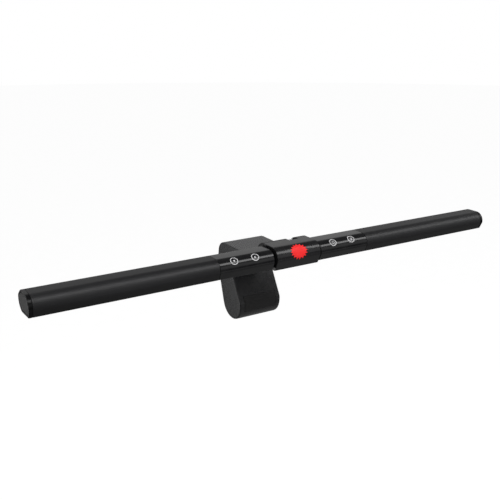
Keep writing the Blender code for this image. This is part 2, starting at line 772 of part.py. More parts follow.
def build_arm_cover():
    outline = [(COVER_FRONT, PLATE[0], 0.3), (COVER_FRONT, COVER_TOP, 0.0),
               (COVER_BACK, COVER_TOP, COVER_CURVE),
               (COVER_BACK, HINGE_AXIS[1], 0.0), (BOX_FRONT - 0.3, HINGE_AXIS[1], 0.5),
               (BOX_FRONT - 0.3, PLATE[0], 2.0)]
    cover = frame_prism("arm_cover", outline, CLAMP_HALF)
    inner = [(COVER_FRONT - 5, -20.0, 0.0), (COVER_FRONT - 5, COVER_TOP - COVER_WALL, 0.0),
             (COVER_BACK - COVER_WALL, COVER_TOP - COVER_WALL, COVER_CURVE - COVER_WALL),
             (COVER_BACK - COVER_WALL, -20.0, 0.0)]
    cut(cover, frame_prism("cover_hollow", inner, CLAMP_HALF - COVER_WALL))
    hub = rod("cover_hub_space", RING_RADIUS + GAP, (-30, 30), TILT_AXIS, 40)
    knuckle = rod("cover_knuckle_space", KNUCKLE_CLEARANCE, (-30, 30), HINGE_AXIS, 32)
    cut(cover, hub, knuckle)
    for side, word in SIDES:
        spot = cover_screw_spot(side)
        thread = post("cover_thread_" + word, SMALL_SCREW[2] + GAP, (spot[0], spot[1], 5.0), 4.6, (0, 0, 1))
        cut(cover, thread)
        screw("arm_cover_screw_" + word, spot, (0, 0, -1), 4.6, STEEL)
    finish(cover, MATTE_PLASTIC)


def build_pads():
    top = box("top_pad", (-PAD_HALF, LIP[1] + 1.5, 0.0), (PAD_HALF, BOX_FRONT - 2.0, PAD_THICKNESS))
    finish(top, RUBBER)
    lip_y = LIP[1] + GAP
    lip = box("lip_pad", (-PAD_HALF, lip_y, LIP_BOTTOM + 0.4), (PAD_HALF, lip_y + PAD_THICKNESS, -0.4))
    finish(lip, RUBBER)


def leg_skin(name, outer, inner, half, z_range, y_range):
    """A patch of the leg's skin between two depths, limited to a window."""
    patch = prism(name, rounded(inset(leg_outline(), outer)), (-half, half))
    keep = box(name + "_limits", (-half - 1, y_range[0], z_range[0]), (half + 1, y_range[1], z_range[1]))
    cut(patch, prism(name + "_core", rounded(inset(leg_outline(), inner)), (-half - 1, half + 1)))
    boolean(patch, keep, "INTERSECT")
    return patch


def back_screw_spot(side):
    return (side * 10.0, HINGE_AXIS[0] + 2.6, -25.0)


def build_leg_shell():
    shell = prism("leg_shell", rounded(leg_outline_with_knuckle()), (-CLAMP_HALF, CLAMP_HALF))
    hollow = prism("leg_hollow", rounded(inset(leg_outline(LEG_HOLLOW_TOP), LEG_WALL)), (-20.0, 20.0))
    back = box("leg_back_opening", (-20.0, 24.0, BACK_PLATE_Z[0] - GAP), (20.0, 50.0, BACK_PLATE_Z[1] + GAP))
    for side, word in SIDES:
        reach = span(side, FRAME_KNUCKLE[0] - GAP, FRAME_KNUCKLE[1] + GAP)
        cut(shell, rod("knuckle_pocket_" + word, KNUCKLE_CLEARANCE, reach, HINGE_AXIS, 30))
    cut(shell, rod("spring_pocket", KNUCKLE_CLEARANCE, (-SPRING_POCKET, SPRING_POCKET), HINGE_AXIS, 30))
    cut(shell, hollow, back)
    hole_y = HINGE_AXIS[0] - 2.9
    cut(shell, box("spring_leg_hole", (3.2, hole_y - 1.1, -19.0), (5.2, hole_y + 1.1, LEG_TOP + 2)))
    cut(shell, rod("pin_bore", PIN_RADIUS + GAP, (-20.6, 30.0), HINGE_AXIS, 20))
    seat = leg_skin("leg_pad_seat", -1.0, 1.3, PAD_HALF + GAP, (LEG_PAD_Z[0] - GAP, LEG_PAD_Z[1] + GAP),
                    (-5.0, 10.0))
    cut(shell, seat)
    finish(shell, MATTE_PLASTIC, HINGE)


def build_leg_back_plate():
    plate = leg_skin("leg_back_plate", 0.0, 1.8, FRAME_HALF, BACK_PLATE_Z, (24.5, 50.0))
    for side, word in SIDES:
        spot = back_screw_spot(side)
        cut(plate, *screw_hole("plate_bolt_" + word, spot, (0, 1, 0), 9.0))
        screw("back_plate_screw_" + word, spot, (0, 1, 0), 8.0, STEEL, HINGE)
    finish(plate, MATTE_PLASTIC, HINGE)


def build_counterweight():
    block = prism("counterweight", rounded(inset(leg_outline(), LEG_WALL + GAP)), (-WEIGHT_HALF, WEIGHT_HALF))
    cut(block, box("weight_top", (-30, -10, -19.0), (30, 60, 10)))
    for side, word in SIDES:
        spot = back_screw_spot(side)
        middle = (spot[0], spot[1] - 6, spot[2])
        hole = post("weight_thread_" + word, SMALL_SCREW[2] + GAP, middle, 14, (0, 1, 0))
        cut(block, hole)
    finish(block, STEEL, HINGE)


def build_leg_pad():
    finish(leg_skin("leg_pad", -0.2, 1.0, PAD_HALF, LEG_PAD_Z, (-5.0, 9.5)), RUBBER, HINGE)


def build_hinge():
    finish(rod("hinge_pin", PIN_RADIUS, (-20.3, 21.6), HINGE_AXIS, 20), STEEL, HINGE)
    low, high = FRAME_KNUCKLE
    for side, word in SIDES:
        middle = side * (low + high) / 2
        half = (high - low) / 2
        profile = [(PIN_RADIUS + GAP, half), (BUSH_RADIUS, half), (BUSH_RADIUS, -half),
                   (PIN_RADIUS + GAP, -half)]
        bush = turned("hinge_bush_" + word, profile, (middle, *HINGE_AXIS), (1, 0, 0), 20, closed=True)
        finish(bush, WHITE_PLASTIC)
    turns, per_turn, radius, reach = 6, 10, 2.9, 4.2
    count = turns * per_turn
    points = [(-reach, HINGE_AXIS[0] - 6.0, HINGE_AXIS[1] + 10.0),
              (-reach, HINGE_AXIS[0] - 4.0, HINGE_AXIS[1] + 4.0)]
    for step in range(count + 1):
        angle = math.pi - 2 * math.pi * step / per_turn
        x = -reach + 2 * reach * step / count
        points.append((x, HINGE_AXIS[0] + radius * math.cos(angle), HINGE_AXIS[1] + radius * math.sin(angle)))
    points.append((reach, HINGE_AXIS[0] - 2.9, HINGE_AXIS[1] - 8.0))
    finish(wire("hinge_spring", points, 0.4), STEEL)


def build_bar():
    for side, word in SIDES:
        build_wing(side, word)
        build_touch_housing(side, word)
        build_heat_sink(side, word)
        build_led_strip(side, word)
        build_reflector(side, word)
        build_diffuser(side, word)
        build_touch_board(side, word)
        build_end_cap(side, word)
        build_lead(side, word)
    build_axle()
    build_socket()
    build_main_board()


def build_clamp():
    build_arm_frame()
    build_ring_cover()
    build_emblem()
    build_friction()
    build_arm_cover()
    build_pads()


def build_leg():
    build_leg_shell()
    build_leg_back_plate()
    build_counterweight()
    build_leg_pad()
    build_hinge()


clear_scene()
SIDES = ((-1, "left"), (1, "right"))
PARTS = new_collection("monitor_light_bar")
CUTTERS = new_collection("cutters")
TILT = joint_empty("bar_tilt_axis", TILT_AXIS)
HINGE = joint_empty("leg_hinge_axis", HINGE_AXIS)

BLACK_METAL = new_material("black_anodised", (0.022, 0.022, 0.024), 0.42, 0.6)
GREY_METAL = new_material("grey_anodised", (0.060, 0.060, 0.064), 0.45, 0.6)
GLOSS_PLASTIC = new_material("gloss_black_plastic", (0.014, 0.014, 0.015), 0.22)
MATTE_PLASTIC = new_material("matte_black_plastic", (0.028, 0.028, 0.030), 0.5)
WHITE_PLASTIC = new_material("white_plastic", (0.80, 0.80, 0.78), 0.4)
DIFFUSER = new_material("diffuser_acrylic", (0.86, 0.86, 0.84), 0.35)
BOARD_WHITE = new_material("white_board", (0.78, 0.78, 0.76), 0.45)
BOARD_GREEN = new_material("green_board", (0.03, 0.16, 0.07), 0.4)
ALUMINIUM = new_material("bare_aluminium", (0.62, 0.62, 0.63), 0.35, 1.0)
STEEL = new_material("plated_steel", (0.55, 0.55, 0.56), 0.3, 1.0)
RUBBER = new_material("black_silicone", (0.025, 0.025, 0.025), 0.75)
WIRE = new_material("wire_red", (0.55, 0.04, 0.03), 0.5)
RED = new_material("emblem_red", (0.72, 0.04, 0.04), 0.35)

build_bar()
build_clamp()
build_leg()
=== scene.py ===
import math

import bpy
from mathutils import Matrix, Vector


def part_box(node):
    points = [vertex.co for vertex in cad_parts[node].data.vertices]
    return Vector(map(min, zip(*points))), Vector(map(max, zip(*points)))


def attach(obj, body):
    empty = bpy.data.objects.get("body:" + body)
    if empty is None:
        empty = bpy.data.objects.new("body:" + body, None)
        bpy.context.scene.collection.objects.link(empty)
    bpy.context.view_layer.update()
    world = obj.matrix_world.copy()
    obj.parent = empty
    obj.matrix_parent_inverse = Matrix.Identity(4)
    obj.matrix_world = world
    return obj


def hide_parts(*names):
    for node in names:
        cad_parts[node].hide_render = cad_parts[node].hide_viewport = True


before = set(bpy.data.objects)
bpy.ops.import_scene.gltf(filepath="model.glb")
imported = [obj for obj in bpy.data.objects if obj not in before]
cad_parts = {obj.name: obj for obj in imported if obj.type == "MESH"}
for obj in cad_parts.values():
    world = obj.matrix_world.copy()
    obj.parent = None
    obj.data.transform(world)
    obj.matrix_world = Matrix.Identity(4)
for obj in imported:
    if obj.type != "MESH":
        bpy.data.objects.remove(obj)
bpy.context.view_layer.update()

MM = 0.001


# ---------------------------------------------------------------- camera

CAMERA_SPOT = (-0.3234, -0.5138, 0.1975)
CAMERA_LOOK = (0.4935, 0.8163, -0.3003)
FOCAL_LENGTH = 50
SENSOR_WIDTH = 36


def make_camera():
    """The photograph's view: from the front left and slightly above."""
    camera = bpy.data.objects.new("camera", bpy.data.cameras.new("camera"))
    bpy.context.collection.objects.link(camera)
    camera.location = CAMERA_SPOT
    camera.rotation_mode = "QUATERNION"
    camera.rotation_quaternion = Vector(CAMERA_LOOK).to_track_quat("-Z", "Y")
    camera.data.lens = FOCAL_LENGTH
    camera.data.sensor_width = SENSOR_WIDTH
    bpy.context.scene.camera = camera


make_camera()


# ---------------------------------------------------------------- shader helpers

# Noise seldom leaves this range
NOISE_START = 0.3
NOISE_END = 0.7


def even(value):
    """The same value on all three axes or colour channels."""
    return (value, value, value)


def fill_ramp(ramp, places, colours):
    """Sets a colour ramp's stops."""
    stops = ramp.color_ramp.elements
    for _ in places[2:]:
        stops.new(0.5)
    for stop, place, colour in zip(stops, places, colours):
        stop.position = place
        stop.color = (*colour, 1.0)


class Shader:
    """A node material with one Principled shader and detail from object coordinates."""

    def __init__(self, name, colour, roughness, metallic=0.0, **sockets):
        self.material = bpy.data.materials.new(name)
        self.material.use_nodes = True
        self.nodes = self.material.node_tree.nodes
        self.links = self.material.node_tree.links
        self.surface = self.nodes["Principled BSDF"]
        self.place = self.nodes.new("ShaderNodeTexCoord").outputs["Object"]
        self.height = None
        self.surface.inputs["Base Color"].default_value = (*colour, 1.0)
        self.surface.inputs["Roughness"].default_value = roughness
        self.surface.inputs["Metallic"].default_value = metallic
        for socket, value in sockets.items():
            self.surface.inputs[socket.replace("_", " ")].default_value = value

    def stretched(self, scale):
        """The object coordinates in millimetres, stretched by scale on each axis."""
        mapping = self.nodes.new("ShaderNodeMapping")
        mapping.inputs["Scale"].default_value = [value / MM for value in scale]
        self.links.new(self.place, mapping.inputs["Vector"])
        return mapping.outputs["Vector"]

    def noise(self, scale, detail=3.0, distortion=0.0):
        """Noise of that many features per millimetre along each axis."""
        node = self.nodes.new("ShaderNodeTexNoise")
        node.inputs["Scale"].default_value = 1.0
        node.inputs["Detail"].default_value = detail
        node.inputs["Distortion"].default_value = distortion
        self.links.new(self.stretched(scale), node.inputs["Vector"])
        return node.outputs["Fac"]

    def cells(self, scale):
        """The distance to the nearest of many scattered points, for grains and pits."""
        node = self.nodes.new("ShaderNodeTexVoronoi")
        node.inputs["Scale"].default_value = 1.0
        self.links.new(self.stretched(scale), node.inputs["Vector"])
        return node.outputs["Distance"]

    def spread(self, value, low, high, start=NOISE_START, end=NOISE_END):
        """A value between start and end, spread to low..high."""
        node = self.nodes.new("ShaderNodeMapRange")
        node.inputs["From Min"].default_value = start
        node.inputs["From Max"].default_value = end
        node.inputs["To Min"].default_value = low
        node.inputs["To Max"].default_value = high
        self.links.new(value, node.inputs["Value"])
        return node.outputs["Result"]

    def mixed(self, first, second, share):
        """Blend of two values by a share."""
        node = self.nodes.new("ShaderNodeMix")
        node.inputs["Factor"].default_value = share
        self.links.new(first, node.inputs["A"])
        self.links.new(second, node.inputs["B"])
        return node.outputs["Result"]

    def tint(self, value, *colours):
        """Base colour that runs through the colours as the value rises."""
        ramp = self.nodes.new("ShaderNodeValToRGB")
        step = (NOISE_END - NOISE_START) / (len(colours) - 1)
        places = [NOISE_START + step * number for number in range(len(colours))]
        fill_ramp(ramp, places, colours)
        self.links.new(value, ramp.inputs["Fac"])
        self.links.new(ramp.outputs["Color"], self.surface.inputs["Base Color"])

    def rough(self, value, low, high):
        """Roughness that runs from low to high as the value rises."""
        self.links.new(self.spread(value, low, high), self.surface.inputs["Roughness"])

    def bump(self, value, depth, strength=1.0):
        """Relief of that depth in millimetres, on top of any relief added before."""
        node = self.nodes.new("ShaderNodeBump")
        node.inputs["Strength"].default_value = strength
        node.inputs["Distance"].default_value = depth * MM
        self.links.new(value, node.inputs["Height"])
        if self.height:
            self.links.new(self.height, node.inputs["Normal"])
        self.height = node.outputs["Normal"]
        self.links.new(self.height, self.surface.inputs["Normal"])


# ---------------------------------------------------------------- materials, one per record slot

def wing_aluminium():
    """Black anodised extrusion: fine die lines along the bar over a blasted grain."""
    paint = Shader("wing_aluminium", (0.018, 0.018, 0.019), 0.4, 0.25)
    die_lines = paint.noise((0.02, 3.0, 3.0), 2.0)
    grain = paint.noise(even(9.0), 2.0)
    cloud = paint.noise((0.02, 0.06, 0.06), 4.0)
    paint.tint(paint.mixed(cloud, grain, 0.4), (0.014, 0.014, 0.015), (0.024, 0.024, 0.026))
    paint.rough(paint.mixed(cloud, die_lines, 0.5), 0.39, 0.51)
    paint.bump(die_lines, 0.006, 0.5)
    paint.bump(grain, 0.012, 0.5)
    return paint.material


def touch_gloss():
    """Glossy black polycarbonate with faint finger marks and hairline scuffs."""
    paint = Shader("touch_gloss", (0.010, 0.010, 0.011), 0.12)
    smudge = paint.noise(even(0.13), 4.0, 0.6)
    scuff = paint.noise((1.2, 0.15, 0.15), 3.0, 1.2)
    paint.tint(smudge, (0.008, 0.008, 0.009), (0.014, 0.014, 0.015))
    paint.rough(paint.mixed(smudge, scuff, 0.35), 0.10, 0.22)
    paint.bump(paint.noise(even(0.35), 2.0), 0.010, 0.4)
    return paint.material


def moulded(name, dark, light, low, high, grain_size, depth, shine=0.5):
    """Moulded plastic with a spark-eroded grain and slow colour and gloss changes."""
    paint = Shader(name, dark, low, Specular_IOR_Level=shine)
    spark = paint.cells(even(1.0 / grain_size))
    cloud = paint.noise(even(0.08), 4.0)
    paint.tint(paint.mixed(cloud, spark, 0.3), dark, light)
    paint.rough(paint.mixed(cloud, spark, 0.5), low, high)
    paint.bump(spark, depth, 0.6)
    paint.bump(paint.noise(even(0.05), 1.0), 0.05, 0.25)
    return paint.material


def cover_plastic():
    """Satin black plastic of the arm's cover and the leg."""
    return moulded("cover_plastic", (0.020, 0.020, 0.021), (0.030, 0.030, 0.032), 0.22, 0.32, 0.35, 0.006)


def clamp_frame():
    """Black powder coat on the clamp's casting, coarser than the plastics' grain."""
    return moulded("clamp_frame", (0.013, 0.013, 0.014), (0.020, 0.020, 0.022), 0.42, 0.55, 0.40, 0.016)


def sleeve_plastic():
    """Semi-gloss black plastic of the sleeve."""
    return moulded("sleeve_plastic", (0.011, 0.011, 0.012), (0.017, 0.017, 0.018), 0.17, 0.27, 0.30, 0.004)


def cap_plastic():
    """Black plastic of the end caps."""
    return moulded("cap_plastic", (0.005, 0.005, 0.005), (0.009, 0.009, 0.010), 0.18, 0.28, 0.30, 0.004, 0.2)


def white_plastic():
    """Pale plastic of the bushes, the friction shoe and the reflectors."""
    return moulded("white_plastic", (0.72, 0.72, 0.70), (0.82, 0.82, 0.80), 0.35, 0.50, 0.35, 0.010)


def silicone():
    """Dull silicone rubber with a fine leathery skin and dust in its pores."""
    paint = Shader("silicone", (0.022, 0.022, 0.022), 0.75)
    skin = paint.cells(even(1.6))
    dust = paint.noise(even(0.9), 5.0)
    paint.tint(dust, (0.022, 0.022, 0.022), (0.030, 0.030, 0.030), (0.042, 0.041, 0.040))
    paint.rough(dust, 0.68, 0.86)
    paint.bump(skin, 0.05, 0.7)
    paint.surface.inputs["Sheen Weight"].default_value = 0.15
    return paint.material


def brushed(name, dark, light, low, high, lines, depth=0.004, metallic=1.0, shine=0.5):
    """Metal with lines of that fineness per millimetre on each axis."""
    paint = Shader(name, dark, low, metallic, Specular_IOR_Level=shine)
    stroke = paint.noise(lines, 3.0)
    cloud = paint.noise(even(0.2), 3.0)
    paint.tint(paint.mixed(stroke, cloud, 0.5), dark, light)
    paint.rough(stroke, low, high)
    paint.bump(stroke, depth, 0.5)
    return paint.material


def end_plate():
    """Dark grey plate in each end cap, brushed upright."""
    return brushed("end_plate", (0.012, 0.012, 0.012), (0.022, 0.022, 0.023), 0.32, 0.46, (3, 4, 0.12),
                   0.006, 0.0, 0.25)


def sink_aluminium():
    """Bare extruded aluminium, with lines along the bar."""
    return brushed("sink_aluminium", (0.56, 0.56, 0.57), (0.70, 0.70, 0.71), 0.28, 0.42, (0.03, 4, 4))


def fastener_steel():
    """Zinc plated steel of the screws."""
    return brushed("fastener_steel", (0.30, 0.30, 0.32), (0.48, 0.48, 0.50), 0.25, 0.40, even(2.5))


def axle_steel():
    """Blackened steel, with turning lines round the axis."""
    return brushed("axle_steel", (0.008, 0.008, 0.009), (0.020, 0.020, 0.021), 0.28, 0.42, (6, 0.2, 0.2),
                   0.004, 0.4)


def socket_steel():
    """Plated shell of the power socket."""
    return brushed("socket_steel", (0.52, 0.52, 0.53), (0.66, 0.66, 0.67), 0.20, 0.32, (3, 0.3, 0.3))


def spring_steel():
    """Drawn spring wire."""
    return brushed("spring_steel", (0.34, 0.33, 0.32), (0.50, 0.49, 0.47), 0.25, 0.38, even(3.0))


def weight_iron():
    """Cast iron block: sand-cast pits under a dull zinc coat."""
    paint = Shader("weight_iron", (0.20, 0.20, 0.20), 0.6, 0.85)
    pits = paint.cells(even(0.8))
    bloom = paint.noise(even(0.3), 5.0)
    paint.tint(bloom, (0.15, 0.15, 0.15), (0.30, 0.30, 0.31))
    paint.rough(bloom, 0.48, 0.70)
    paint.bump(pits, 0.12, 0.8)
    return paint.material


def led_board():
    """White solder mask over copper tracks that run along the strip."""
    paint = Shader("led_board", (0.80, 0.80, 0.78), 0.35)
    tracks = paint.noise((0.02, 0.9, 0.9), 0.0)
    paint.tint(tracks, (0.74, 0.74, 0.70), (0.84, 0.84, 0.82))
    paint.rough(paint.noise(even(2.0)), 0.28, 0.42)
    paint.bump(paint.spread(tracks, 0.0, 1.0, 0.48, 0.52), 0.03, 0.6)
    return paint.material


def circuit_board():
    """Green solder mask with raised tracks and woven glass under it."""
    paint = Shader("circuit_board", (0.012, 0.085, 0.035), 0.3)
    tracks = paint.noise((0.5, 0.5, 0.5), 0.0, 2.0)
    edges = paint.spread(tracks, 0.0, 1.0, 0.47, 0.53)
    paint.tint(edges, (0.010, 0.070, 0.028), (0.022, 0.135, 0.055))
    paint.rough(paint.noise(even(3.0)), 0.24, 0.38)
    paint.bump(edges, 0.035, 0.7)
    return paint.material


def diffuser_acrylic():
    """Opal acrylic, frosted on its outer face, that lets light through."""
    paint = Shader("diffuser_acrylic", (0.86, 0.86, 0.84), 0.45, Subsurface_Weight=0.35,
                   Subsurface_Scale=0.002, Emission_Color=(1.0, 0.98, 0.94, 1.0), Emission_Strength=0.22)
    frost = paint.noise(even(7.0), 3.0)
    paint.tint(paint.noise(even(0.06), 3.0), (0.83, 0.83, 0.81), (0.88, 0.88, 0.86))
    paint.rough(frost, 0.40, 0.56)
    paint.bump(frost, 0.010, 0.5)
    return paint.material


def wire_insulation():
    """Extruded PVC insulation with a faint lengthwise grain."""
    paint = Shader("wire_insulation", (0.50, 0.035, 0.03), 0.45)
    grain = paint.noise(even(2.2), 3.0)
    paint.tint(grain, (0.42, 0.028, 0.024), (0.56, 0.045, 0.038))
    paint.rough(grain, 0.38, 0.55)
    paint.bump(grain, 0.02, 0.4)
    return paint.material


def emblem_red():
    """Satin red enamel with a fine flake, and a painted glow that makes it read as faintly lit from behind.
    """
    # The red emission is painted glow: no lamp lights the emblem
    paint = Shader("emblem_red", (0.84, 0.02, 0.02), 0.5, Specular_IOR_Level=0.25,
                   Emission_Color=(1.0, 0.03, 0.035, 1.0), Emission_Strength=0.34)
    flake = paint.cells(even(5.0))
    cloud = paint.noise(even(0.25), 3.0)
    paint.tint(paint.mixed(cloud, flake, 0.4), (0.70, 0.014, 0.014), (0.90, 0.030, 0.028))
    paint.rough(flake, 0.42, 0.60)
    paint.bump(paint.noise(even(0.8), 2.0), 0.015, 0.5)
    return paint.material


def key_ink():
    """Light grey pad-printed ink, slightly uneven at its surface, with a faint painted glow that brightens
    it.
    """
    # The weak white emission is painted glow on the ink, not a lamp
    paint = Shader("key_ink", (0.62, 0.62, 0.63), 0.45, Emission_Color=(1.0, 1.0, 1.0, 1.0),
                   Emission_Strength=0.10)
    film = paint.noise(even(2.5), 4.0)
    paint.tint(film, (0.56, 0.56, 0.57), (0.68, 0.68, 0.69))
    paint.rough(film, 0.38, 0.55)
    paint.bump(film, 0.01, 0.5)
    return paint.material


MAKERS = (wing_aluminium, touch_gloss, sink_aluminium, fastener_steel, axle_steel, socket_steel,
          led_board, white_plastic, diffuser_acrylic, circuit_board, cap_plastic, end_plate,
          wire_insulation, clamp_frame, sleeve_plastic, emblem_red, spring_steel, cover_plastic, silicone,
          weight_iron, key_ink)
MATERIALS = {maker.__name__: maker() for maker in MAKERS}


# ---------------------------------------------------------------- soft edges on the CAD nodes

# Radius of the rounded rims of each node's end faces, in millimetres
EDGE_WIDTHS = {
    "arm_cover": 0.8, "leg_shell": 1.3, "leg_back_plate": 0.2, "ring_cover": 0.4, "arm_frame": 0.2,
    "wing_housing": 0.15, "touch_housing": 0.3, "end_cap": 0.5, "top_pad": 0.2, "lip_pad": 0.2,
    "leg_pad": 0.2,
}
RIM_SEGMENTS = 3
RIM_ANGLE = math.radians(40)
RIM_REACH = 0.02 * MM

# The arm cover's wall is thin round the knuckle, so its rim stays sharp below this height
COVER_ROUND_ABOVE = -4.0 * MM
EVERY_HEIGHT = -1.0
NO_NEAR_FACE = -1.0

SMOOTH_ANGLE = math.radians(26)
FLAT_ANGLE = math.radians(0.5)
SAME_POINT = 0.005 * MM


def mesh_group(name):
    """An empty modifier group, with its input and output nodes."""
    group = bpy.data.node_groups.new(name, "GeometryNodeTree")
    group.interface.new_socket("Geometry", in_out="INPUT", socket_type="NodeSocketGeometry")
    group.interface.new_socket("Geometry", in_out="OUTPUT", socket_type="NodeSocketGeometry")
    return group, group.nodes.new("NodeGroupInput"), group.nodes.new("NodeGroupOutput")


def compared(group, operation, value, limit):
    """A yes-or-no field: the value against a fixed limit."""
    node = group.nodes.new("FunctionNodeCompare")
    node.operation = operation
    node.inputs["B"].default_value = limit
    group.links.new(value, node.inputs["A"])
    return node.outputs["Result"]


def combined(group, operation, first, second):
    """Both or either of two yes-or-no fields."""
    node = group.nodes.new("FunctionNodeBooleanMath")
    node.operation = operation
    group.links.new(first, node.inputs[0])
    group.links.new(second, node.inputs[1])
    return node.outputs[0]


def smooth_group():
    """A modifier group that shades faces smooth, except across edges sharper than SMOOTH_ANGLE."""
    group, start, end = mesh_group("smooth_by_angle")
    angle = group.nodes.new("GeometryNodeInputMeshEdgeAngle").outputs["Unsigned Angle"]
    faces, edges = (group.nodes.new("GeometryNodeSetShadeSmooth") for _ in range(2))
    faces.domain, edges.domain = "FACE", "EDGE"
    flat_enough = compared(group, "LESS_THAN", angle, SMOOTH_ANGLE)
    group.links.new(start.outputs[0], faces.inputs["Geometry"])
    group.links.new(faces.outputs[0], edges.inputs["Geometry"])
    group.links.new(flat_enough, edges.inputs["Shade Smooth"])
    group.links.new(edges.outputs[0], end.inputs[0])
    return group


SMOOTH = smooth_group()


def rim_group(near, far, lowest):
    """A modifier group that marks, for the bevel, the sharp edges at |x| near or far and above lowest."""
    group, start, end = mesh_group("end_edges")
    nodes, links = group.nodes, group.links
    angle = nodes.new("GeometryNodeInputMeshEdgeAngle").outputs["Unsigned Angle"]
    corners = nodes.new("GeometryNodeInputMeshEdgeVertices")
    sharp = compared(group, "GREATER_THAN", angle, RIM_ANGLE)
    at_far, at_near, above = sharp, sharp, sharp
    for corner in ("Position 1", "Position 2"):
        split = nodes.new("ShaderNodeSeparateXYZ")
        size = nodes.new("ShaderNodeMath")
        size.operation = "ABSOLUTE"
        links.new(corners.outputs[corner], split.inputs[0])
        links.new(split.outputs["X"], size.inputs[0])
        reach = size.outputs[0]
        at_far = combined(group, "AND", at_far, compared(group, "GREATER_THAN", reach, far - RIM_REACH))
        at_near = combined(group, "AND", at_near, compared(group, "LESS_THAN", reach, near + RIM_REACH))
        above = combined(group, "AND", above, compared(group, "GREATER_THAN", split.outputs["Z"], lowest))
    store = nodes.new("GeometryNodeStoreNamedAttribute")
    store.data_type = "FLOAT"
    store.domain = "EDGE"
    store.inputs["Name"].default_value = "bevel_weight_edge"
    at_end = combined(group, "OR", at_far, at_near)
    links.new(start.outputs[0], store.inputs["Geometry"])
    links.new(combined(group, "AND", at_end, above), store.inputs["Value"])
    links.new(store.outputs[0], end.inputs[0])
    return group


def round_rims(obj, width):
    """Rounds the rims of the node's end faces by width millimetres."""
    low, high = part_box(obj.name)
    near, far = sorted((abs(low.x), abs(high.x)))
    if low.x < 0 < high.x:
        near = NO_NEAR_FACE
    lowest = COVER_ROUND_ABOVE if obj.name == "arm_cover" else EVERY_HEIGHT
    pick = obj.modifiers.new("pick", "NODES")
    pick.node_group = rim_group(near, far, lowest)
    edge = obj.modifiers.new("edge", "BEVEL")
    edge.width = width * MM
    edge.segments = RIM_SEGMENTS
    edge.limit_method = "WEIGHT"
    edge.use_clamp_overlap = False


def soften(obj, width):
    """Joins the node's triangles into whole faces, rounds its rims and shades its curves smooth."""
    weld = obj.modifiers.new("weld", "WELD")
    weld.merge_threshold = SAME_POINT
    flatten = obj.modifiers.new("flatten", "DECIMATE")
    flatten.decimate_type = "DISSOLVE"
    flatten.angle_limit = FLAT_ANGLE
    if width:
        round_rims(obj, width)
    shade = obj.modifiers.new("shade", "NODES")
    shade.node_group = SMOOTH
    weigh = obj.modifiers.new("weigh", "WEIGHTED_NORMAL")
    weigh.keep_sharp = True


def dress_cad_nodes():
    """Gives every CAD node its slot's material and softly rounded edges."""
    for name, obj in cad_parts.items():
        for slot in obj.material_slots:
            slot.material = MATERIALS[slot.material.name]
        plain_name = name.removesuffix("_left").removesuffix("_right")
        soften(obj, EDGE_WIDTHS.get(plain_name, 0.0))


dress_cad_nodes()


# ---------------------------------------------------------------- touch keys

# The housing's round front edge, as (y, z) and radius, in millimetres
NOSE_AXIS = (-49.7, 15.75)
NOSE_RADIUS = 8.5

# Each key's place along the bar, and its sign
KEYS = {-61.0: "lower", -41.3: "raise", 38.3: "power", 58.2: "tone"}
KEY_SLOPE = math.radians(41)
KEY_RADIUS = 3.5
KEY_LINE = 0.72
INK_PROUD = 0.05
INK_DEPTH = 0.12
INK_WELD = 0.002 * MM
ARC_STEPS = 48


def nose_point(x, u, v, lift):
    """The point u to the right of x and v down round the housing's nose, in metres."""
    angle = KEY_SLOPE + v / NOSE_RADIUS
    reach = NOSE_RADIUS + lift
    y = NOSE_AXIS[0] - reach * math.sin(angle)
    z = NOSE_AXIS[1] + reach * math.cos(angle)
    return Vector((x + u, y, z)) * MM


def arc(radius, first=0.0, last=360.0):
    """Points of an arc, in degrees clockwise from the top."""
    angles = [math.radians(first + (last - first) * step / ARC_STEPS) for step in range(ARC_STEPS + 1)]
    return [(radius * math.sin(angle), -radius * math.cos(angle)) for angle in angles]


def band(radius, line, first=0.0, last=360.0):
    """A curved line as a closed outline of its outer and inner edge."""
    return arc(radius, first, last) + arc(radius - line, last, first)


def glyph(kind):
    """Outlines of a generic key sign: a triangle, a power sign, or a disc with one half filled."""
    if kind == "lower":
        return [[(-1.15, -0.75), (1.15, -0.75), (0.0, 1.15)]]
    if kind == "raise":
        return [[(0.0, -1.15), (1.15, 0.75), (-1.15, 0.75)]]
    if kind == "power":
        return [band(1.35, 0.45, 40, 320), [(-0.22, -1.5), (0.22, -1.5), (0.22, -0.1), (-0.22, -0.1)]]
    return [arc(1.25, 0, 180), band(1.25, 0.35, 180, 360)]


def outline_faces(count):
    """The faces that fill an outline of that many points: a strip of quads for a band, else one face."""
    if count <= 2 * ARC_STEPS:
        return [tuple(range(count))]
    return [(i, i + 1, count - 2 - i, count - 1 - i) for i in range(count // 2 - 1)]


def inlay(name, x, outlines):
    """Thin printed shapes that follow the housing's nose and stand a hair proud of it."""
    vertices, faces = [], []
    for outline in outlines:
        count = len(outline)
        upper = [len(vertices) + i for i in range(count)]
        lower = [count + i for i in upper]
        vertices += [nose_point(x, u, v, INK_PROUD) for u, v in outline]
        vertices += [nose_point(x, u, v, -INK_DEPTH) for u, v in outline]
        for corners in outline_faces(count):
            faces.append([upper[i] for i in corners])
            faces.append([lower[i] for i in reversed(corners)])
        for i in range(count):
            j = (i + 1) % count
            faces.append([upper[j], upper[i], lower[i], lower[j]])
    mesh = bpy.data.meshes.new(name)
    mesh.from_pydata(vertices, [], faces)
    mesh.materials.append(MATERIALS["key_ink"])
    piece = bpy.data.objects.new(name, mesh)
    bpy.context.collection.objects.link(piece)
    weld = piece.modifiers.new("weld", "WELD")
    weld.merge_threshold = INK_WELD
    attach(piece, "bar")


for place, kind in KEYS.items():
    inlay(f"key_ring_{kind}", place, [band(KEY_RADIUS, KEY_LINE)])
    inlay(f"key_sign_{kind}", place, glyph(kind))


# ---------------------------------------------------------------- hinge spring, split at its joint

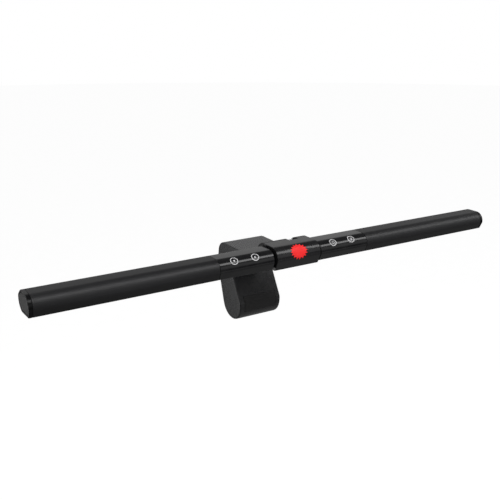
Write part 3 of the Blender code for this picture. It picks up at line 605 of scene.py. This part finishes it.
SPRING_WIRE = 0.4 * MM
SPRING_COIL = 2.9 * MM
SPRING_TURNS = 6
STEPS_PER_TURN = 32
SPRING_TAIL = 8.0 * MM

# The coil's upper hook, as (y, z) from the pin's axis
SPRING_HOOK = ((-6.0 * MM, 10.0 * MM), (-4.0 * MM, 4.0 * MM))


def wire(name, points, body):
    """A round spring wire along points in metres."""
    curve = bpy.data.curves.new(name, "CURVE")
    curve.dimensions = "3D"
    curve.bevel_depth = SPRING_WIRE
    curve.bevel_resolution = 4
    curve.use_fill_caps = True
    spline = curve.splines.new("POLY")
    spline.points.add(len(points) - 1)
    for vertex, point in zip(spline.points, points):
        vertex.co = (*point, 1.0)
    curve.materials.append(MATERIALS["spring_steel"])
    piece = bpy.data.objects.new(name, curve)
    bpy.context.collection.objects.link(piece)
    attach(piece, body)
    return piece


def make_spring():
    """The torsion spring: its coil stays with the clamp and its lower tail swings with the leg."""
    pin_low, pin_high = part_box("hinge_pin")
    axis = (pin_low + pin_high) / 2
    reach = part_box("hinge_spring")[1].x - SPRING_WIRE
    points = [(-reach, axis.y + y, axis.z + z) for y, z in SPRING_HOOK]
    for step in range(SPRING_TURNS * STEPS_PER_TURN + 1):
        angle = math.pi - 2 * math.pi * step / STEPS_PER_TURN
        x = -reach + 2 * reach * step / (SPRING_TURNS * STEPS_PER_TURN)
        points.append((x, axis.y + SPRING_COIL * math.cos(angle), axis.z + SPRING_COIL * math.sin(angle)))
    coil = wire("spring_coil", points, "clamp")
    wire("spring_tail", [points[-1], (reach, axis.y - SPRING_COIL, axis.z - SPRING_TAIL)], "leg")
    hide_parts("hinge_spring")


make_spring()


# ---------------------------------------------------------------- floor and light

FLOOR_Z = -0.80
FLOOR_RADIUS = 14.0

# The surround's brightness by direction, from straight down at -1 to straight up at 1
SKY = ((-1.0, 0.08), (-0.82, 0.28), (-0.62, 0.20), (-0.40, 0.08), (0.0, 0.02), (0.10, 0.50), (0.40, 0.55),
       (0.60, 0.08), (1.0, 0.08))

# Each softbox's place, its width and height, and its brightness in reflections
SOFTBOXES = {
    "overhead": ((0.60, -0.56, 0.83), (2.6, 0.34), 3.9),
    "front_fill": ((0.60, -1.00, -0.37), (1.2, 0.5), 0.30),
    "rear": ((-0.7, 0.8, 1.1), (1.2, 0.5), 1.0),
    "left_fill": ((-0.84, 1.00, -0.37), (0.45, 0.5), 1.15),
    "rear_fill": ((0.55, 1.10, -0.30), (1.1, 0.5), 0.5),
}


def make_floor():
    """A wide pale floor, far enough below the bar to look up at its underside."""
    bpy.ops.mesh.primitive_circle_add(vertices=96, radius=FLOOR_RADIUS, fill_type="NGON",
                                      location=(0, 0, FLOOR_Z))
    floor = bpy.context.object
    floor.name = "floor"
    floor.visible_glossy = False
    floor.visible_diffuse = False
    floor.visible_shadow = False
    paint = Shader("floor_paper", (0.30, 0.30, 0.30), 0.9, Emission_Color=(1.0, 1.0, 1.0, 1.0),
                   Emission_Strength=0.92, Specular_IOR_Level=0.0)
    fibre = paint.noise(even(0.02), 3.0)
    paint.tint(fibre, (0.28, 0.28, 0.28), (0.32, 0.32, 0.32))
    floor.data.materials.append(paint.material)


def make_world():
    """A plain white backdrop for the camera, and a surround of soft bands for reflections and light."""
    world = bpy.data.worlds.new("studio")
    bpy.context.scene.world = world
    world.use_nodes = True
    nodes, links = world.node_tree.nodes, world.node_tree.links
    sky = nodes["Background"]
    place = nodes.new("ShaderNodeTexCoord")
    split = nodes.new("ShaderNodeSeparateXYZ")
    height = nodes.new("ShaderNodeMapRange")
    height.inputs["From Min"].default_value = -1.0
    ramp = nodes.new("ShaderNodeValToRGB")
    fill_ramp(ramp, [(level + 1) / 2 for level, _ in SKY], [even(value) for _, value in SKY])
    white = nodes.new("ShaderNodeBackground")
    white.inputs["Color"].default_value = (1.0, 1.0, 1.0, 1.0)
    path = nodes.new("ShaderNodeLightPath")
    mix = nodes.new("ShaderNodeMixShader")
    links.new(place.outputs["Generated"], split.inputs[0])
    links.new(split.outputs["Z"], height.inputs["Value"])
    links.new(height.outputs["Result"], ramp.inputs["Fac"])
    links.new(ramp.outputs["Color"], sky.inputs["Color"])
    links.new(path.outputs["Is Camera Ray"], mix.inputs[0])
    links.new(sky.outputs[0], mix.inputs[1])
    links.new(white.outputs[0], mix.inputs[2])
    links.new(mix.outputs[0], nodes["World Output"].inputs["Surface"])


def softbox(name, spot, size, radiance):
    """A rectangular light that faces the bar and shows the given radiance in reflections."""
    lamp = bpy.data.lights.new(name, "AREA")
    lamp.shape = "RECTANGLE"
    lamp.size, lamp.size_y = size
    lamp.energy = radiance * math.pi * size[0] * size[1]
    obj = bpy.data.objects.new(name, lamp)
    bpy.context.collection.objects.link(obj)
    obj.location = spot
    obj.rotation_euler = Vector((0, -spot[1], -spot[2])).to_track_quat("-Z", "Y").to_euler()
    obj.visible_camera = False


bpy.context.scene.view_settings.view_transform = "Standard"
make_floor()
make_world()
for title, setting in SOFTBOXES.items():
    softbox(title, *setting)
